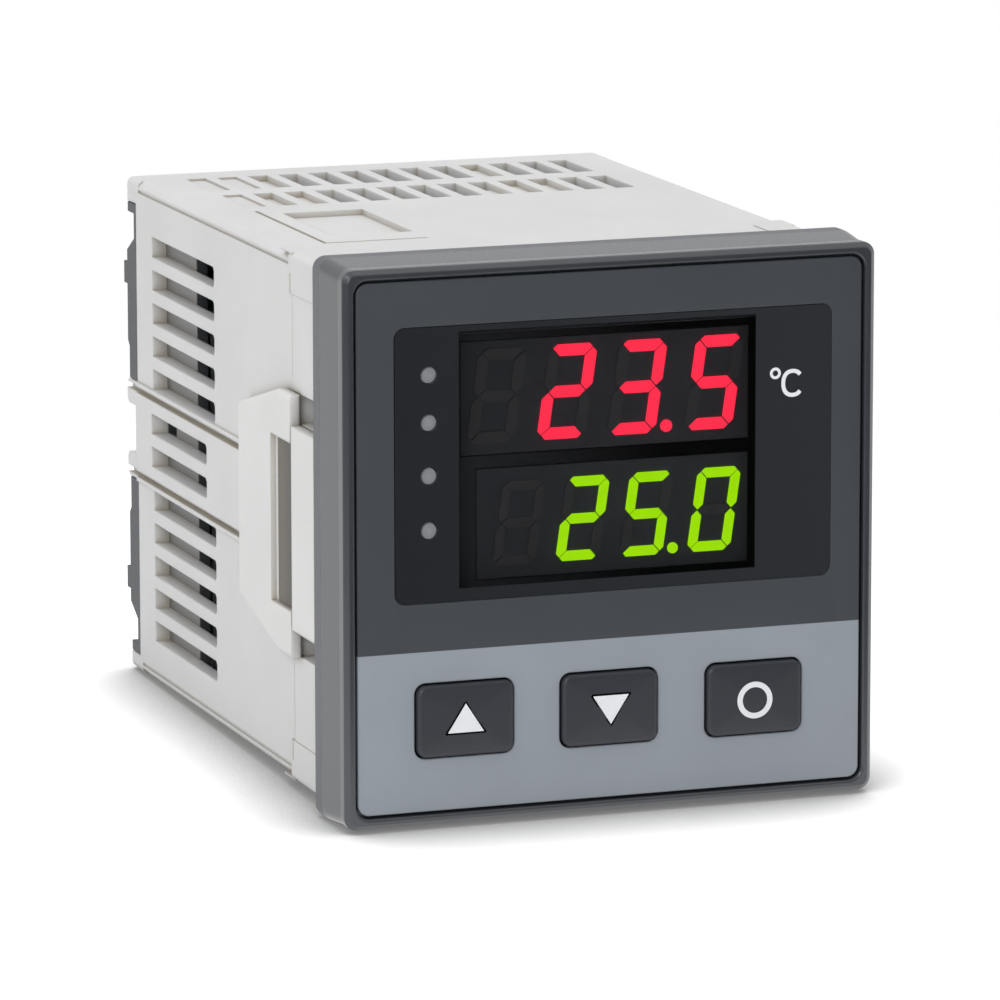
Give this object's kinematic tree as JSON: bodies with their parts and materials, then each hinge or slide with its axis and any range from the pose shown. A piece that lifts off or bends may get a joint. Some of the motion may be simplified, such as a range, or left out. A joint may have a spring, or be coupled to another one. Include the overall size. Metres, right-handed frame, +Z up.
{
  "type": "panel-mount temperature controller",
  "caption": "Square-fronted panel-mount temperature controller with stacked numeric displays, front keys, a vented case, rear screw terminals and sliding side clips.",
  "frame": {"origin": "bottom centre of the whole controller's box: under the bezel's lower edge, midway between the key faces and the terminal lugs", "axes": "+Y from the front face back to the terminals, +Z up, +X to the right of someone looking at the front"},
  "size_m": [0.048, 0.067, 0.048],
  "materials": {
    "bezel_plastic": "fine satin moulded plastic, dark slate grey",
    "face_print": "matt printed polycarbonate, dark slate above and light grey-blue below",
    "smoked_window": "smoked clear polycarbonate",
    "gasket_rubber": "grey rubber",
    "frame_black": "matt black moulding",
    "display_face": "dark grey display face",
    "segment_red": "glowing red diffuser",
    "segment_green": "glowing green diffuser",
    "segment_dark": "unlit smoky diffuser",
    "lamp_lens": "milky light guide, unlit",
    "key_plastic": "satin dark grey moulding",
    "plunger_plastic": "black moulding",
    "case_plastic": "warm light grey moulded plastic with a fine grain",
    "clip_plastic": "cream white moulded nylon",
    "terminal_plastic": "dark grey moulded plastic",
    "terminal_metal": "nickel-plated brass",
    "screw_metal": "zinc-plated steel",
    "board_laminate": "green solder mask on glass laminate",
    "ferrite": "dark grey ferrite",
    "coil_tape": "yellow winding tape",
    "capacitor_sleeve": "dark shrink sleeve",
    "relay_case": "blue moulded case",
    "chip_resin": "black moulding resin"
  },
  "bodies": {
    "case": {"front_bezel": "bezel_plastic", "face_plate": "face_print", "display_window": "smoked_window", "panel_gasket": "gasket_rubber", "display_frame": "frame_black", "pv_display": "display_face", "sv_display": "display_face", "pv_lit_segments": "segment_red", "pv_dark_segments": "segment_dark", "sv_lit_segments": "segment_green", "sv_dark_segments": "segment_dark", "indicator_lamps": "lamp_lens", "up_switch": "terminal_metal", "down_switch": "terminal_metal", "function_switch": "terminal_metal", "housing": "case_plastic", "upper_terminal_block": "terminal_plastic", "lower_terminal_block": "terminal_plastic", "upper_terminal_clamps": "terminal_metal", "lower_terminal_clamps": "terminal_metal", "upper_terminal_screws": "screw_metal", "lower_terminal_screws": "screw_metal", "display_board": "board_laminate", "power_board": "board_laminate", "control_board": "board_laminate", "transformer_core": "ferrite", "transformer_coil": "coil_tape", "filter_capacitor": "capacitor_sleeve", "output_relay": "relay_case", "alarm_relay": "relay_case", "processor_chip": "chip_resin"},
    "up_key": {"up_key": "key_plastic", "up_plunger": "plunger_plastic"},
    "down_key": {"down_key": "key_plastic", "down_plunger": "plunger_plastic"},
    "function_key": {"function_key": "key_plastic", "function_plunger": "plunger_plastic"},
    "left_clip": {"left_clip": "clip_plastic"},
    "right_clip": {"right_clip": "clip_plastic"}
  },
  "joints": [
    {"name": "up_key_press", "type": "slide", "parent": "case", "child": "up_key", "axis": [0, 1, 0], "range_m": [0, 0.0004], "stiffness_N_per_m": 4000},
    {"name": "down_key_press", "type": "slide", "parent": "case", "child": "down_key", "axis": [0, 1, 0], "range_m": [0, 0.0004], "stiffness_N_per_m": 4000},
    {"name": "function_key_press", "type": "slide", "parent": "case", "child": "function_key", "axis": [0, 1, 0], "range_m": [0, 0.0004], "stiffness_N_per_m": 4000},
    {"name": "left_clip_slide", "type": "slide", "parent": "case", "child": "left_clip", "axis": [0, 1, 0], "range_m": [0, 0.026]},
    {"name": "right_clip_slide", "type": "slide", "parent": "case", "child": "right_clip", "axis": [0, 1, 0], "range_m": [0, 0.026]}
  ]
}
